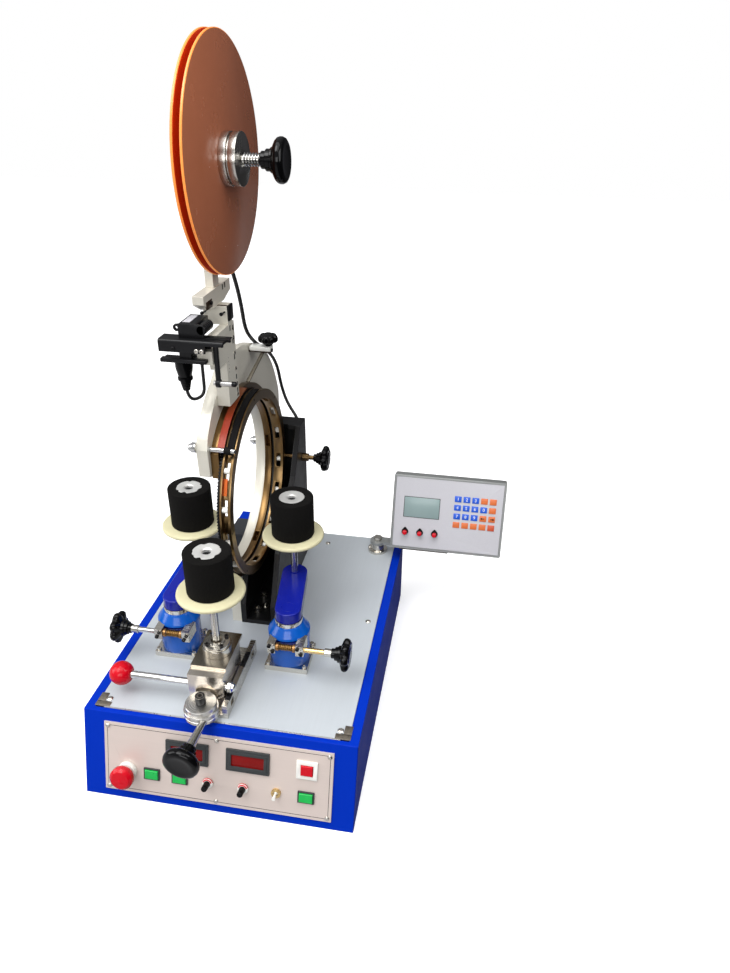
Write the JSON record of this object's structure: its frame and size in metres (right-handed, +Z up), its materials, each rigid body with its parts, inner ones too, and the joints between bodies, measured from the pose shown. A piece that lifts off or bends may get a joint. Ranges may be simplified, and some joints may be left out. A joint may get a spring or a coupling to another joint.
{
  "type": "core taping machine",
  "caption": "Bench taping machine for ring cores: turning brass ring with tape channel, rubber core rollers on swing arms and a slide, tape reel on a mast, control box on a swivel.",
  "frame": {"origin": "on the floor, under the middle of the cabinet", "axes": "+Z up, +Y from the sloped control panel to the back, +X to the right seen from the front"},
  "size_m": [0.584, 0.5984, 0.9712],
  "materials": {
    "cabinet_shell": "gloss",
    "bottom_plate": "satin",
    "table_plate": "satin",
    "front_panel": "satin",
    "machine_screws": "satin",
    "panel_meters": "satin",
    "switch_bodies": "satin",
    "stop_button": "gloss",
    "green_button_left": "gloss",
    "green_button_middle": "gloss",
    "green_button_right": "gloss",
    "power_button": "gloss",
    "pot_knob_left": "gloss",
    "pot_knob_right": "gloss",
    "toggle_lever": "polished",
    "control_unit": "matte",
    "drive_motors": "satin",
    "tower_bases": "satin",
    "tower_housings": "gloss",
    "left_arm": "gloss",
    "right_arm": "gloss",
    "left_worm_knob": "gloss",
    "right_worm_knob": "gloss",
    "left_roller": "matte",
    "right_roller": "matte",
    "front_roller": "matte",
    "left_disc": "satin",
    "right_disc": "satin",
    "front_disc": "satin",
    "slide_rail": "satin",
    "slide_carriage": "polished",
    "pull_handle": "gloss",
    "lock_hub": "polished",
    "lock_knob": "gloss",
    "head_plate": "satin",
    "guide_ring": "satin",
    "taping_ring": "satin",
    "ring_gear": "satin",
    "ring_pulleys": "satin",
    "drive_pinion": "satin",
    "feed_tape": "gloss",
    "press_band": "satin",
    "support_bracket": "satin",
    "bracket_knob": "gloss",
    "head_studs": "polished",
    "clamp_knob": "gloss",
    "tape_mast": "satin",
    "reel_discs": "gloss",
    "reel_hub": "satin",
    "reel_knob": "gloss",
    "tape_sensor": "satin",
    "sensor_cable": "satin",
    "head_cable": "satin",
    "controller_box": "satin",
    "controller_face": "satin",
    "controller_knob_left": "gloss",
    "controller_knob_middle": "gloss",
    "controller_knob_right": "gloss",
    "controller_post": "satin",
    "terminal_box": "gloss"
  },
  "bodies": {
    "machine_base": {"cabinet_shell": "cabinet_shell", "bottom_plate": "bottom_plate", "table_plate": "table_plate", "front_panel": "front_panel", "machine_screws": "machine_screws", "panel_meters": "panel_meters", "switch_bodies": "switch_bodies", "control_unit": "control_unit", "drive_motors": "drive_motors", "tower_bases": "tower_bases", "tower_housings": "tower_housings", "slide_rail": "slide_rail", "head_plate": "head_plate", "guide_ring": "guide_ring", "support_bracket": "support_bracket", "head_studs": "head_studs", "feed_tape": "feed_tape", "press_band": "press_band", "tape_mast": "tape_mast", "tape_sensor": "tape_sensor", "sensor_cable": "sensor_cable", "head_cable": "head_cable", "controller_post": "controller_post", "terminal_box": "terminal_box"},
    "stop_button": {"stop_button": "stop_button"},
    "left_green_button": {"green_button_left": "green_button_left"},
    "middle_green_button": {"green_button_middle": "green_button_middle"},
    "right_green_button": {"green_button_right": "green_button_right"},
    "power_button": {"power_button": "power_button"},
    "left_dial": {"pot_knob_left": "pot_knob_left"},
    "right_dial": {"pot_knob_right": "pot_knob_right"},
    "toggle": {"toggle_lever": "toggle_lever"},
    "left_swing_arm": {"left_arm": "left_arm"},
    "right_swing_arm": {"right_arm": "right_arm"},
    "left_worm": {"left_worm_knob": "left_worm_knob"},
    "right_worm": {"right_worm_knob": "right_worm_knob"},
    "left_roller": {"left_roller": "left_roller", "left_disc": "left_disc"},
    "right_roller": {"right_roller": "right_roller", "right_disc": "right_disc"},
    "front_roller": {"front_roller": "front_roller", "front_disc": "front_disc"},
    "front_slide": {"slide_carriage": "slide_carriage", "pull_handle": "pull_handle"},
    "lock_lever": {"lock_hub": "lock_hub", "lock_knob": "lock_knob"},
    "turning_ring": {"taping_ring": "taping_ring", "ring_gear": "ring_gear", "ring_pulleys": "ring_pulleys"},
    "pinion": {"drive_pinion": "drive_pinion"},
    "tape_reel": {"reel_discs": "reel_discs", "reel_hub": "reel_hub", "reel_knob": "reel_knob"},
    "bracket_clamp": {"bracket_knob": "bracket_knob"},
    "tension_clamp": {"clamp_knob": "clamp_knob"},
    "controller": {"controller_box": "controller_box", "controller_face": "controller_face"},
    "controller_dial_left": {"controller_knob_left": "controller_knob_left"},
    "controller_dial_middle": {"controller_knob_middle": "controller_knob_middle"},
    "controller_dial_right": {"controller_knob_right": "controller_knob_right"}
  },
  "joints": [
    {"name": "stop_press", "type": "slide", "parent": "machine_base", "child": "stop_button", "axis": [0, -0.9604, 0.2786], "range_m": [-0.004, 0]},
    {"name": "left_green_press", "type": "slide", "parent": "machine_base", "child": "left_green_button", "axis": [0, -0.9604, 0.2786], "range_m": [-0.003, 0], "stiffness_N_per_m": 250},
    {"name": "middle_green_press", "type": "slide", "parent": "machine_base", "child": "middle_green_button", "axis": [0, -0.9604, 0.2786], "range_m": [-0.003, 0], "stiffness_N_per_m": 250},
    {"name": "right_green_press", "type": "slide", "parent": "machine_base", "child": "right_green_button", "axis": [0, -0.9604, 0.2786], "range_m": [-0.003, 0], "stiffness_N_per_m": 250},
    {"name": "power_press", "type": "slide", "parent": "machine_base", "child": "power_button", "axis": [0, -0.9604, 0.2786], "range_m": [-0.003, 0], "stiffness_N_per_m": 250},
    {"name": "left_dial_turn", "type": "hinge", "parent": "machine_base", "child": "left_dial", "pos_m": [-0.012, -0.2682, 0.04871], "axis": [0, -0.9604, 0.2786], "range_deg": [-135, 135]},
    {"name": "right_dial_turn", "type": "hinge", "parent": "machine_base", "child": "right_dial", "pos_m": [0.04, -0.2682, 0.04871], "axis": [0, -0.9604, 0.2786], "range_deg": [-135, 135]},
    {"name": "toggle_tilt", "type": "hinge", "parent": "machine_base", "child": "toggle", "pos_m": [0.088, -0.26244, 0.04704], "axis": [1, 0, 0], "range_deg": [-12, 12]},
    {"name": "left_arm_swing", "type": "hinge", "parent": "machine_base", "child": "left_swing_arm", "pos_m": [-0.11, -0.083, 0.223], "axis": [0, 0, 1], "range_deg": [-6, 15]},
    {"name": "right_arm_swing", "type": "hinge", "parent": "machine_base", "child": "right_swing_arm", "pos_m": [0.066, -0.083, 0.223], "axis": [0, 0, 1], "range_deg": [-20, 4]},
    {"name": "left_worm_turn", "type": "hinge", "parent": "machine_base", "child": "left_worm", "pos_m": [-0.106, -0.119, 0.185], "axis": [1, 0, 0], "range_deg": [-185, 455]},
    {"name": "right_worm_turn", "type": "hinge", "parent": "machine_base", "child": "right_worm", "pos_m": [0.07, -0.119, 0.185], "axis": [1, 0, 0], "range_deg": [-605, 125]},
    {"name": "left_roller_spin", "type": "hinge", "parent": "left_swing_arm", "child": "left_roller", "pos_m": [-0.11, 0.0086, 0.337], "axis": [0, 0, 1], "continuous": true},
    {"name": "right_roller_spin", "type": "hinge", "parent": "right_swing_arm", "child": "right_roller", "pos_m": [0.05325, 0.00771, 0.337], "axis": [0, 0, 1], "continuous": true},
    {"name": "front_slide_travel", "type": "slide", "parent": "machine_base", "child": "front_slide", "axis": [0, 1, 0], "range_m": [-0.03, 0.004]},
    {"name": "front_roller_spin", "type": "hinge", "parent": "front_slide", "child": "front_roller", "pos_m": [-0.023, -0.152, 0.337], "axis": [0, 0, 1], "continuous": true},
    {"name": "lock_lever_turn", "type": "hinge", "parent": "front_slide", "child": "lock_lever", "pos_m": [-0.025, -0.225, 0.149], "axis": [0, 0, 1], "range_deg": [-60, 60]},
    {"name": "ring_spin", "type": "hinge", "parent": "machine_base", "child": "turning_ring", "pos_m": [-0.011, 0.037, 0.3735], "axis": [1, 0, 0], "continuous": true},
    {"name": "pinion_spin", "type": "hinge", "parent": "machine_base", "child": "pinion", "pos_m": [-0.021, 0.09087, 0.2255], "axis": [1, 0, 0], "continuous": true},
    {"name": "reel_spin", "type": "hinge", "parent": "machine_base", "child": "tape_reel", "pos_m": [-0.013, -0.005, 0.8376], "axis": [1, 0, 0], "continuous": true},
    {"name": "bracket_clamp_turn", "type": "hinge", "parent": "machine_base", "child": "bracket_clamp", "pos_m": [0.024, 0.196, 0.339], "axis": [1, 0, 0], "range_deg": [-180, 180]},
    {"name": "tension_clamp_turn", "type": "hinge", "parent": "machine_base", "child": "tension_clamp", "pos_m": [-0.005, 0.122, 0.572], "axis": [0, 0, 1], "range_deg": [-180, 180]},
    {"name": "controller_swivel", "type": "hinge", "parent": "machine_base", "child": "controller", "pos_m": [0.155, 0.236, 0.151], "axis": [0, 0, 1], "range_deg": [-60, 60]},
    {"name": "controller_left_dial_turn", "type": "hinge", "parent": "controller", "child": "controller_dial_left", "pos_m": [0.208, 0.20855, 0.19556], "axis": [0, -0.9563, 0.2924], "range_deg": [-135, 135]},
    {"name": "controller_middle_dial_turn", "type": "hinge", "parent": "controller", "child": "controller_dial_middle", "pos_m": [0.235, 0.20855, 0.19556], "axis": [0, -0.9563, 0.2924], "range_deg": [-135, 135]},
    {"name": "controller_right_dial_turn", "type": "hinge", "parent": "controller", "child": "controller_dial_right", "pos_m": [0.262, 0.20855, 0.19556], "axis": [0, -0.9563, 0.2924], "range_deg": [-135, 135]}
  ],
  "couplings": [
    {"joint": "pinion_spin", "follows": "ring_spin", "ratio": -9.5},
    {"joint": "left_worm_turn", "follows": "left_arm_swing", "ratio": 30},
    {"joint": "right_worm_turn", "follows": "right_arm_swing", "ratio": 30}
  ]
}
